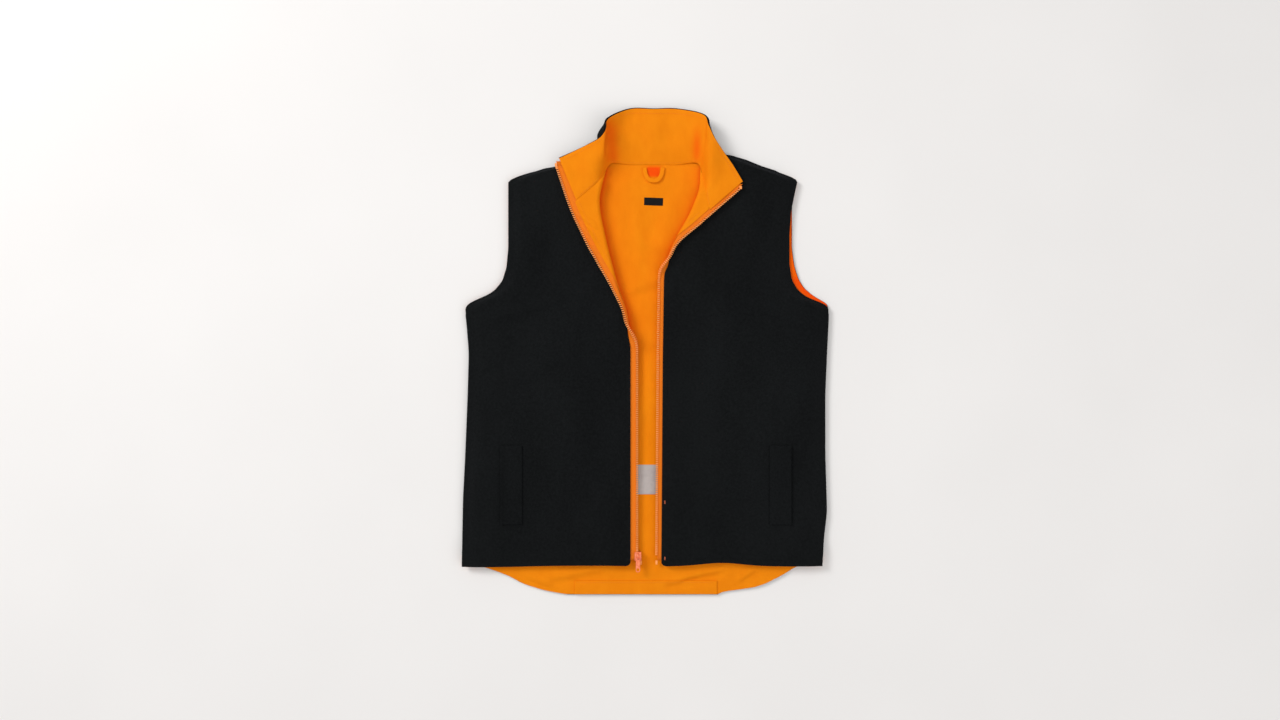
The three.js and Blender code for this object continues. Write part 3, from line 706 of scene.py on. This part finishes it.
# ---- strips that lie on a surface ----
def strip(name, x_range, y_range, surface, thickness, columns=40, rows=14, tilt=0.0, lift=None):
    """A closed strip lying on surface(x, y), which gives heights; x_range may be functions of y."""
    across, up = fine_to_edges(columns, length=0.1), fine_to_edges(rows, length=0.05)
    y = y_range[0] + up[:, None] * (y_range[1] - y_range[0]) + 0 * across[None, :]
    ends = [end(y) if callable(end) else end for end in x_range]
    x = ends[0] + across[None, :] * (ends[1] - ends[0])
    x_mid, y_mid = x.mean(), y.mean()
    turned_x = x_mid + (x - x_mid) * math.cos(tilt) - (y - y_mid) * math.sin(tilt)
    turned_y = y_mid + (x - x_mid) * math.sin(tilt) + (y - y_mid) * math.cos(tilt)
    z = surface(turned_x, turned_y)
    if lift is not None:
        z = z + lift(turned_x)
    grids = [np.stack([turned_x, turned_y, z + n], -1) for n in (0.1 * MM, 0.1 * MM + thickness)]
    thin_edges(*grids)
    return shell(name, *grids)


def over_box(name, node_name, surface, thickness, **shape):
    """A strip over the outline of a CAD node."""
    low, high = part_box(node_name)
    return strip(name, (low[0], high[0]), (low[1], high[1]), surface, thickness, **shape)


def on_back(x, y):
    return back_relief(x, y) + BACK_INNER[1]


def over_front(side, n):
    """Heights over a front, n above the zip tape's middle."""
    return lambda x, y: PLANE_Z + n + relief_at(side, np.abs(x), y)


def front_width(side):
    """x of a front tape's two ends: beside the zip tape, and beside the side seam."""
    return (lambda y: side["sign"] * (edge_q(side, y) + (side["reveal"] + 0.6) * MM),
            lambda y: side["sign"] * (along(side["side"], y) - 5 * MM))


def mouth_lift(mouth):
    """A welt stands a little off the front at its pocket's mouth."""
    return lambda x: 2.2 * MM * np.exp(-((np.abs(x) - mouth) / (5 * MM)) ** 2)


BAND_THICKNESS = 0.3 * MM
back_band = over_box("back reflective band", "back_reflective_band", on_back, BAND_THICKNESS, columns=90)
finish_piece(back_band, REFLECTIVE_LOOK, ["back_reflective_band"])
cloth(back_band, "laid", [back_lining])
casing_low, casing_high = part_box("tail_hem_casing")
casing = strip("tail hem casing", (casing_low[0], casing_high[0]),
               (casing_low[1] - 1 * MM, casing_high[1]), on_back, 1.8 * MM, columns=80)
finish_piece(casing, LINING_LOOK, ["tail_hem_casing", "tail_hem_elastic"])
cloth(casing, "gathered", [back_lining])
label = over_box("neck label", "neck_label", on_back, 0.5 * MM, columns=16, rows=8,
                 tilt=math.radians(-1.5))
finish_piece(label, LABEL_LOOK, ["neck_label"])
cloth(label, "laid", [back_lining])

for side in (LEFT, RIGHT):
    band_low, band_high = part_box(side["name"] + "_front_reflective_band")
    band = strip(side["name"] + " reflective band", front_width(side), (band_low[1], band_high[1]),
                 over_front(side, LINING[0] - 0.5 * MM), BAND_THICKNESS, columns=70)
    finish_piece(band, REFLECTIVE_LOOK,
                 nodes_of(side, "front_reflective_band", "flap_reflective_band"), body=None)
    fold_blend(band)
    cloth(band, "laid", [side["name"] + "_front_lining_look"])
    welt_node = side["name"] + "_pocket_welt"
    mouth = max(abs(corner[0]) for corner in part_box(welt_node))
    welt = over_box(side["name"] + " pocket welt", welt_node, over_front(side, FLEECE[1]), 2.4 * MM,
                    columns=30, rows=30, lift=mouth_lift(mouth))
    finish_piece(welt, FLEECE_LOOK, [welt_node])
    cloth(welt, "laid", [side["name"] + "_front_fleece_look"])
    bag = over_box(side["name"] + " pocket bag", side["name"] + "_pocket_bag",
                   over_front(side, LINING[0] - 1.2 * MM), 0.8 * MM, columns=24, rows=30)
    finish_piece(bag, LINING_LOOK, nodes_of(side, "pocket_bag"))
    cloth(bag, "laid", [side["name"] + "_front_lining_look"])


# ---- the collar ----
def through(points, u):
    """A smooth line through the points, at fractions u of its way by point number."""
    points = np.array(points, float)
    padded_points = np.concatenate([2 * points[:1] - points[1:2], points, 2 * points[-1:] - points[-2:-1]])
    spans = len(points) - 1
    k = np.clip(np.floor(u * spans).astype(int), 0, spans - 1)
    t = (u * spans - k)[:, None]
    p0, p1, p2, p3 = (padded_points[k + i] for i in range(4))
    return 0.5 * (2 * p1 + (p2 - p0) * t + (2 * p0 - 5 * p1 + 4 * p2 - p3) * t ** 2
                  + (3 * p1 - p0 - 3 * p2 + p3) * t ** 3)


def collar_rail(key, y, z):
    """Points of the collar's seam or top edge, from the left front round the back to the right one."""
    lefts = [(-q, at, TURNED_Z / MM + dz) for q, at, dz in LEFT[key]]
    rights = [(q, at, TURNED_Z / MM + dz) for q, at, dz in RIGHT[key]]
    return [(a * MM, b * MM, c * MM) for a, b, c in
            lefts + [(x, y / MM, z / MM) for x in (-26, 13, 52)] + rights[::-1]]


COLLAR_U = np.concatenate([[0.0, 0.002, 0.005, 0.009], np.linspace(0.014, 0.986, 130),
                           [0.991, 0.995, 0.998, 1.0]])
COLLAR_V = fine_to_edges(34, length=0.09)


def collar_surface(u, v):
    """The middle of the collar's cloth, u round the neck and v from the seam to the top edge."""
    seam = through(collar_rail("seam", NECK_Y, 3.6 * MM), u)
    top = through(collar_rail("top", COLLAR_TOP_Y, 13 * MM), u)
    points = seam[None] + (top - seam)[None] * v[:, None, None]
    belly = np.sin(math.pi * v)[:, None]
    for side, near in ((LEFT, u), (RIGHT, 1 - u)):
        reach, height = side["bulge"]
        here = smoothstep((0.50 - near) / 0.14) * smoothstep((near - 0.25) / 0.10)
        shape = np.exp(-((v - height) / 0.23) ** 2)
        points[..., 0] += side["sign"] * reach * MM * shape[:, None] * here[None]
    points[..., 2] += 4.5 * MM * belly * np.sin(math.pi * u)[None] ** 0.5
    places = points * np.array([1, 1, 0])
    points[..., 2] += 3.0 * MM * belly * value_noise(places, 0.030, 21)
    return points


def collar_sheet(layer, name, height):
    """One layer of the collar; height is its share of the collar's full height."""
    middle = collar_surface(COLLAR_U, COLLAR_V * height)
    normal = np.cross(np.gradient(middle, axis=1), np.gradient(middle, axis=0))
    normal /= np.linalg.norm(normal, axis=-1, keepdims=True)
    grids = [middle + normal * n for n in layer]
    thin_edges(*grids)
    return shell(name, *grids)


def painted_shade_collar_corners(points):
    """Painted shade, deep red, where the collar's corners fold."""
    x, y = points[:, 0], points[:, 1]
    left = np.exp(-((x + 0.058 + 0.06 * (y - 0.36)) / 0.011) ** 2) * 0.55
    right = np.exp(-((x - 0.086) / 0.007) ** 2) * 0.6 * np.exp(-((y - 0.345) / 0.03) ** 2)
    return (left + right) * smoothstep((y - 0.312) / 0.02) * smoothstep((0.40 - y) / 0.03)


under = back_fleece
for name, layer, height, look, slot in (
        ("collar outer fleece", (-FLEECE[1], -FLEECE[0]), 1.012, FLEECE_LOOK, "black_fleece"),
        ("collar interlining", TAPE, 0.97, TAPE_LOOK, "zip_tape"),
        ("collar inner lining", (-LINING[1], -LINING[0]), 0.99, LINING_LOOK, "orange_lining")):
    collar = collar_sheet(layer, name, height)
    finish_piece(collar, look, [name.replace(" ", "_")])
    cloth(collar, "folded", [under])
    under = collar
# Paints shade into the collar's inner lining where its corners fold.
painted_shade(collar, painted_shade_collar_corners)


# ---- the zip ----
CORD_INSET = TOOTH[0] + 0.5 * MM  # of the cord that the teeth grip


def zip_rows(side, y0, y1, step):
    """y of points a step apart along the zip."""
    rows, travelled, y = [y0], 0.0, y0
    while y < y1:
        y += 0.2 * MM
        travelled += 0.2 * MM * float(edge_slope(side, y))
        if travelled >= step:
            rows.append(y)
            travelled -= step
    return np.array(rows)


def zip_point(side, inset, y, n=0.0):
    return settle(side, front_point(side, past_roll(side, y, inset), y, n))


def zip_tape(side):
    rows = np.arange(HEM_Y + 3 * MM, (side["tip"] + 4) * MM, 4 * MM)
    insets = np.linspace(side["reveal"] * MM + 5 * MM, TOOTH[0] + 0.2 * MM, 14)
    grids = []
    for n in TAPE:
        lines = [front_point(side, past_roll(side, y, insets), y, n) for y in rows]
        grids.append(settle(side, np.array(lines)))
    thin_edges(*grids)
    return shell(side["name"] + " zip tape", *grids)


def bevelled_block(size, radius, segments):
    """Points and faces of a block about the origin, its edges rounded."""
    bm = bmesh.new()
    bmesh.ops.create_cube(bm, size=1)
    for vertex in bm.verts:
        vertex.co = Vector([at * length for at, length in zip(vertex.co, size)])
    bmesh.ops.bevel(bm, geom=bm.edges[:], offset=radius, segments=segments, profile=0.6, affect="EDGES")
    bm.verts.index_update()
    points = np.array([v.co for v in bm.verts])
    faces = [[v.index for v in face.verts] for face in bm.faces]
    bm.free()
    return points, faces


def tooth_template():
    """One moulded tooth: a block narrowed behind its head. x runs across the zip, y along it."""
    points, faces = bevelled_block((TOOTH[0], TOOTH[1], TOOTH[2] - 0.6 * MM), 0.45 * MM, 2)
    points[:, 1] *= 1 - 0.28 * np.exp(-((points[:, 0] + 0.4 * MM) / (0.7 * MM)) ** 2)
    return points, faces


TOOTH_POINTS, TOOTH_FACES = tooth_template()


def frames_along(side, ys, inset):
    """Place, outward, along and upward directions of zip parts at each y."""
    place = np.array([zip_point(side, inset, y) for y in ys])
    out = np.array([zip_point(side, inset - 1 * MM, y) for y in ys]) - place
    ahead = np.array([zip_point(side, inset, y + 1 * MM) for y in ys]) - place
    out /= np.linalg.norm(out, axis=1, keepdims=True)
    ahead -= out * (ahead * out).sum(1, keepdims=True)
    ahead /= np.linalg.norm(ahead, axis=1, keepdims=True)
    return place, out, ahead, np.cross(out, ahead)


def zip_teeth(side):
    first = HEM_Y + 13 * MM + (0 if side["sign"] < 0 else PITCH / 2)
    ys = zip_rows(side, first, (side["tip"] - 6) * MM, PITCH)
    place, out, ahead, up = frames_along(side, ys, TOOTH[0] / 2)
    points, faces = [], []
    for k in range(len(ys)):
        base = len(TOOTH_POINTS) * k
        basis = np.stack([out[k], ahead[k], up[k]])
        points.append(place[k] + TOOTH_POINTS @ basis)
        faces += [[base + i for i in face] for face in TOOTH_FACES]
    return mesh_object(side["name"] + " zip teeth", np.concatenate(points), faces)


def tube(name, path, radius, squash=1.0, sides=8, normal=(0, 0, 1)):
    """A closed round cord along a path; squash flattens it along the normal."""
    path = np.asarray(path, float)
    ahead = np.gradient(path, axis=0)
    ahead /= np.linalg.norm(ahead, axis=1, keepdims=True)
    across = np.cross(ahead, normal)
    across /= np.linalg.norm(across, axis=1, keepdims=True)
    up = np.cross(across, ahead)
    rings = []
    radii = np.full(len(path), radius)
    radii[[0, -1]] *= 0.35
    for k in range(sides):
        angle = 2 * math.pi * k / sides
        rings.append(path + radii[:, None] * (across * math.cos(angle) + up * math.sin(angle) * squash))
    grid = np.array(rings).transpose(1, 0, 2)
    count = len(path)
    index = np.arange(count * sides).reshape(count, sides)
    a, b = index[:-1], np.roll(index[:-1], -1, 1)
    c, d = np.roll(index[1:], -1, 1), index[1:]
    ends = [index[0][::-1].tolist(), index[-1].tolist()]
    faces = np.stack([a, b, c, d], -1).reshape(-1, 4).tolist() + ends
    piece = mesh_object(name, grid.reshape(-1, 3), faces)
    outward(piece)
    return piece


def rounded_block(name, centre, size, radius, turn_z=0.0):
    points, faces = bevelled_block(size, radius, 3)
    x, y, z = points.T
    cos, sin = math.cos(turn_z), math.sin(turn_z)
    turned = np.stack([centre[0] + x * cos - y * sin, centre[1] + x * sin + y * cos, centre[2] + z], -1)
    return mesh_object(name, turned, faces)


def join(first, *others):
    """One object from several, with the first one's name and material."""
    with bpy.context.temp_override(active_object=first, selected_editable_objects=[first, *others]):
        bpy.ops.object.join()
    return first


for side in (LEFT, RIGHT):
    tape = zip_tape(side)
    ys = np.arange(HEM_Y + 4 * MM, (side["tip"] - 3) * MM, 3 * MM)
    cord_path = np.array([zip_point(side, CORD_INSET, y) for y in ys])
    cord = tube(side["name"] + " zip cord", cord_path, 1.1 * MM)
    tape = join(tape, cord)
    cloth(tape, "folded", [side["name"] + "_front_fleece_look"])
    finish_piece(tape, TAPE_LOOK,
                 nodes_of(side, "zip_tape_upper", "zip_tape_lower"), body=None)
    fold_blend(tape)
    teeth = zip_teeth(side)
    finish_piece(teeth, MOULDED_LOOK,
                 nodes_of(side, "zip_teeth_upper", "zip_teeth_lower"), body=None)
    fold_blend(teeth)
    place, out, _, _ = frames_along(side, [(side["tip"] - 4) * MM], TOOTH[0] / 2 + 0.4 * MM)
    stop = rounded_block(side["name"] + " top stop", place[0], (4.2 * MM, 5 * MM, 4.6 * MM), 0.8 * MM,
                         math.atan2(out[0][1], out[0][0]))
    finish_piece(stop, MOULDED_LOOK, nodes_of(side, "zip_top_stop"))

for node_name, radius, flap in (("zip_retaining_box", 1.0, "left_flap"),
                                ("zip_insertion_pin", 0.7, "right_flap")):
    low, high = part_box(node_name)
    block = rounded_block(node_name + " part", (low + high) / 2, high - low, radius * MM)
    finish_piece(block, MOULDED_LOOK, [node_name], flap)

for node_name in ("zip_slider_body", "zip_slider_rail", "zip_puller"):
    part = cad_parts[node_name]
    bevel = part.modifiers.new("edges", "BEVEL")
    bevel.width = 0.5 * MM
    bevel.segments = 3
    bevel.limit_method = "ANGLE"
    bevel.angle_limit = math.radians(40)
    part.data.materials.clear()
    part.data.materials.append(LACQUER_LOOK)


# ---- sewn edges and the hanger loop ----
for side in (LEFT, RIGHT):
    side_ys = np.arange(-345 * MM, 74 * MM, 5 * MM)
    side_xs = side["sign"] * (along(side["side"], side_ys) - 1.0 * MM)
    top_x, top_y = np.array([pair for pair in SHOULDER_TOP if pair[0] * side["sign"] > 100], float).T
    shoulder_xs = np.linspace(top_x[0], top_x[-1], 40) * MM
    shoulder_ys = np.interp(shoulder_xs, top_x * MM, top_y * MM) - 0.5 * MM
    for seam_name, xs, ys in (("side", side_xs, side_ys), ("shoulder", shoulder_xs, shoulder_ys)):
        path = np.stack([xs, ys, np.full_like(xs, 5 * MM)], -1)
        seam = tube(side["name"] + " " + seam_name + " seam line", path, 2.2 * MM, 1.8)
        finish_piece(seam, FLEECE_LOOK, nodes_of(side, seam_name + "_seam"))


def hanger_loop():
    """A folded tape bent into a squared U, its two ends sewn in the collar's seam."""
    width = 7 * MM
    half = (loop_high[0] - loop_low[0]) / 2 - width / 2
    x_mid = (loop_low[0] + loop_high[0]) / 2
    base = loop_high[1] - 2.5 * MM
    drop = loop_high[1] - loop_low[1] - width / 2 - 2.5 * MM
    t = np.linspace(0, 1, 60)
    cos, sin = np.cos(math.pi * t), np.sin(math.pi * t)
    corner = (np.abs(cos) ** 2.6 + sin ** 2.6) ** (-1 / 2.6)
    x = x_mid - half * cos * corner * (1 - 0.12 * sin)
    y = base - drop * sin * corner
    z = np.full_like(t, loop_low[2] + 2.2 * MM) + 2.8 * MM * sin
    path = np.stack([x, y, z], -1)
    ahead = np.gradient(path, axis=0)
    across = np.cross(ahead, (0, 0, 1))
    across /= np.linalg.norm(across, axis=1, keepdims=True)
    offsets = (fine_to_edges(5, edge=(0.0003, 0.0007, 0.0012), length=0.007) - 0.5) * width
    grids = [path[:, None] + across[:, None] * offsets[None, :, None] + np.array([0, 0, n])
             for n in (-0.6 * MM, 0.6 * MM)]
    thin_edges(*grids)
    return shell("hanger loop tape", *grids)


loop = hanger_loop()
finish_piece(loop, LINING_LOOK, ["hanger_loop"], "loop")


# ---- stitching ----
def stitches(name, paths, look, radius=0.3 * MM, length=2.5 * MM, gap=0.9 * MM):
    """Rows of short threads along the paths, each thread a long bead with eight faces."""
    points, faces = [], []
    bead = [(0, 2, 4), (2, 0, 5), (3, 0, 4), (0, 3, 5), (2, 1, 4), (1, 2, 5), (1, 3, 4), (3, 1, 5)]
    for path in paths:
        path = np.asarray(path, float)
        run = np.concatenate([[0], np.cumsum(np.linalg.norm(np.diff(path, axis=0), axis=1))])
        starts = np.arange(0, run[-1] - length, length + gap)
        first, last = (np.stack([np.interp(t, run, values) for values in path.T], -1)
                       for t in (starts, starts + length))
        ahead = (last - first) / np.linalg.norm(last - first, axis=1, keepdims=True)
        across = np.cross(ahead, (0, 0, 1))
        across /= np.linalg.norm(across, axis=1, keepdims=True)
        up = np.cross(across, ahead)
        middle = (first + last) / 2
        made = np.stack([first, last, middle + across * radius, middle - across * radius,
                         middle + up * radius, middle - up * radius], 1)
        for thread in made:
            faces += [[len(points) + i for i in face] for face in bead]
            points += list(thread)
    piece = mesh_object(name, points, faces)
    return finish_piece(piece, look, body=None)


def on_fleece(side, q, y):
    """A line over a front's fleece at q and y."""
    q, y = np.broadcast_arrays(np.asarray(q, float), np.asarray(y, float))
    flat = np.stack([side["sign"] * q, y, np.full_like(q, PLANE_Z + FLEECE[1] + 0.1 * MM)], -1)
    return settle(side, flat)


for side in (LEFT, RIGHT):
    inset = (side["reveal"] + 8) * MM
    low_ys = np.arange(HEM_Y + 12 * MM, side["flat_to"] * MM, 3 * MM)
    zip_line = [zip_point(side, inset, y, FLEECE[1] + 0.1 * MM) for y in low_ys]
    hem_qs = np.arange(float(edge_q(side, HEM_Y)) + inset, side["side"][0][1] * MM - 12 * MM, 3 * MM)
    armhole_ys = np.arange(96 * MM, 286 * MM, 3 * MM)
    welt_low, welt_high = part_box(side["name"] + "_pocket_welt")
    q0, q1 = sorted((abs(welt_low[0]), abs(welt_high[0])))
    y0, y1 = welt_low[1], welt_high[1]
    black = [zip_line, on_fleece(side, hem_qs, HEM_Y + 10 * MM),
             on_fleece(side, along(side["side"], armhole_ys) - 7 * MM, armhole_ys),
             on_fleece(side, q0 - 2 * MM, np.arange(y0, y1, 3 * MM)),
             on_fleece(side, np.arange(q0, q1, 3 * MM), y0 - 2 * MM),
             on_fleece(side, np.arange(q0, q1, 3 * MM), y1 + 2 * MM)]
    thread = stitches(side["name"] + " fleece stitching", black, BLACK_THREAD)
    fold_blend(thread)
    lapel_ys = np.arange(side["turned_from"] * MM, side["seam"][0][1] * MM, 3 * MM)
    lapel_line = [zip_point(side, (side["reveal"] + 7) * MM, y, LINING[0] - 0.15 * MM) for y in lapel_ys]
    thread = stitches(side["name"] + " lapel stitching", [lapel_line], ORANGE_THREAD)
    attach(thread, "root")

collar_middle = collar_surface(np.linspace(0.02, 0.98, 160), np.array([0.03, 0.905]))
collar_lines = [line + np.array([0, 0, 1.75 * MM]) for line in collar_middle]
tail_xs = np.arange(casing_low[0] + 4 * MM, casing_high[0] - 4 * MM, 3 * MM)
tail_ys = [np.full_like(tail_xs, y) for y in (casing_low[1] + 2.5 * MM, casing_high[1] - 3 * MM)]
tail_lines = [np.stack([tail_xs, ys, on_back(tail_xs, ys) + 2.1 * MM], -1) for ys in tail_ys]
for name, lines in (("collar stitching", collar_lines), ("tail stitching", tail_lines)):
    thread = stitches(name, lines, ORANGE_THREAD)
    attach(thread, "root")

for y in (-0.2516, -0.3468):
    rows = [on_fleece(RIGHT, np.array([0.0305, 0.0335]), y + k * 0.8 * MM) for k in range(-3, 4)]
    tack = stitches("bartack at %d" % round(-y * 1000), rows, BARTACK_THREAD,
                    0.4 * MM, 2.8 * MM, 0.1 * MM)
    fold_blend(tack)


# ---- light, floor and the end ----
def make_floor():
    floor = mesh_object("floor", [(-6, -6, -0.0006), (6, -6, -0.0006), (6, 6, -0.0006), (-6, 6, -0.0006)],
                        [(0, 1, 2, 3)])
    look, tree, shader = material("floor", (0.80, 0.78, 0.765), 0.9)
    tint(tree, shader, noise_texture(tree, 3, 2), (0.79, 0.77, 0.755), (0.81, 0.79, 0.775))
    floor.data.materials.append(look)


def make_light(name, place, size, energy, aim=(0, 0, 0)):
    data = bpy.data.lights.new(name, "AREA")
    data.shape = "SQUARE"
    data.size = size
    data.energy = energy
    light = bpy.data.objects.new(name, data)
    light.location = place
    light.rotation_euler = (Vector(aim) - Vector(place)).to_track_quat("-Z", "Y").to_euler()
    bpy.context.scene.collection.objects.link(light)


make_floor()
make_light("key", (-2.7, 1.9, 2.7), 1.5, 100)
make_light("fill", (2.2, -1.2, 2.6), 2.6, 26)
make_light("top", (0, 0.2, 3.4), 3.0, 30)
world = bpy.data.worlds.new("studio")
world.use_nodes = True
world.node_tree.nodes["Background"].inputs["Color"].default_value = (1, 1, 1, 1)
world.node_tree.nodes["Background"].inputs["Strength"].default_value = 0.44
bpy.context.scene.world = world
